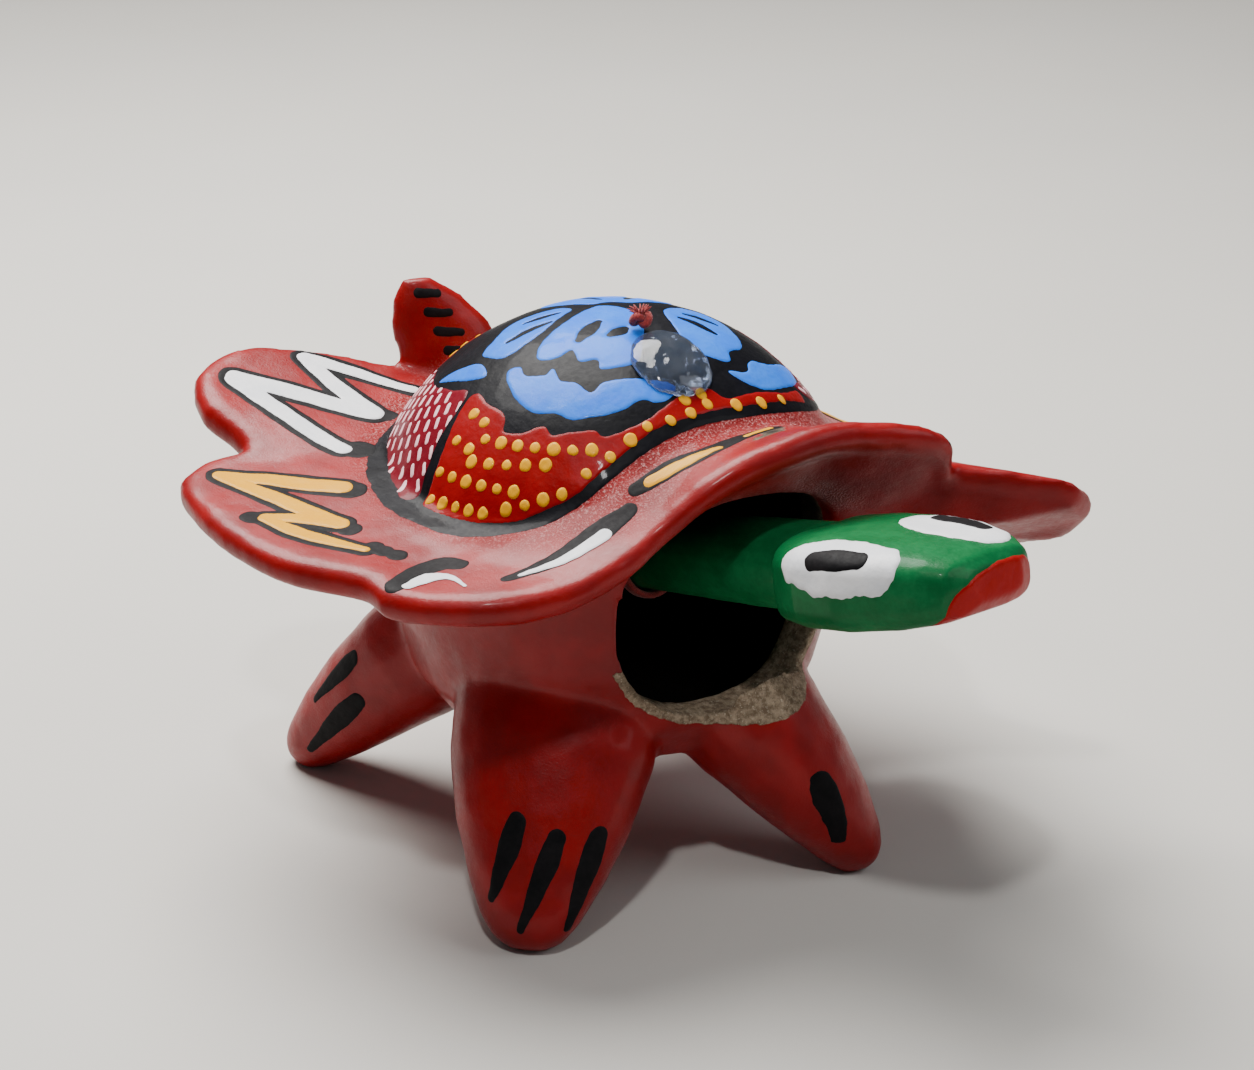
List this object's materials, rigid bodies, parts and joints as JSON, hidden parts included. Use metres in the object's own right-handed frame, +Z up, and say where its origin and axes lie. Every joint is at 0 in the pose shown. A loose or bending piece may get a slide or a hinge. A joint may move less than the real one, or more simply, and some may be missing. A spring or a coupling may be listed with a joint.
{
  "type": "bobble-head turtle figurine",
  "caption": "Hollow painted clay turtle with scalloped shell rim, domed back and a carved head that nods on a hanging thread.",
  "frame": {"origin": "bottom centre of the whole figure's box, on the surface it stands on", "axes": "+X towards the head, +Y the animal's left, +Z up"},
  "size_m": [0.0701, 0.0687, 0.0481],
  "materials": {
    "red_enamel": "gloss",
    "painted_dome": "gloss",
    "green_wood": "gloss",
    "green_clay": "satin",
    "red_thread": "matte",
    "clear_glue": "gloss"
  },
  "bodies": {
    "root": {"body_bowl": "red_enamel", "shell_rim": "red_enamel", "leg_front_right": "red_enamel", "leg_front_left": "red_enamel", "leg_rear_right": "red_enamel", "leg_rear_left": "red_enamel", "tail_fin": "red_enamel", "shell_dome": "painted_dome", "anchor_knot": "red_thread", "glue_dab": "clear_glue"},
    "thread_top": {"upper_thread": "red_thread"},
    "thread_bottom": {"lower_thread": "red_thread"},
    "knot": {"thread_knot": "red_thread"},
    "head_unit": {"head": "green_wood", "neck": "green_wood", "neck_counterweight": "green_clay", "neck_loop": "red_thread"}
  },
  "joints": [
    {"name": "thread_fore_aft_swing", "type": "hinge", "parent": "root", "child": "thread_top", "pos_m": [-0.0015, 0.0023, 0.04538], "axis": [0, 1, 0], "range_deg": [-4, 4]},
    {"name": "thread_side_swing", "type": "hinge", "parent": "thread_top", "child": "thread_bottom", "pos_m": [-0.0015, 0.0023, 0.039], "axis": [1, 0, 0], "range_deg": [-5, 5]},
    {"name": "head_turn", "type": "hinge", "parent": "thread_bottom", "child": "knot", "pos_m": [-0.0015, 0.0023, 0.0334], "axis": [0, 0, 1], "range_deg": [-20, 3]},
    {"name": "head_nod", "type": "hinge", "parent": "knot", "child": "head_unit", "pos_m": [-0.0015, 0.0023, 0.0306], "axis": [-0.3338, 0.9426, 0], "range_deg": [-2, 9]}
  ]
}
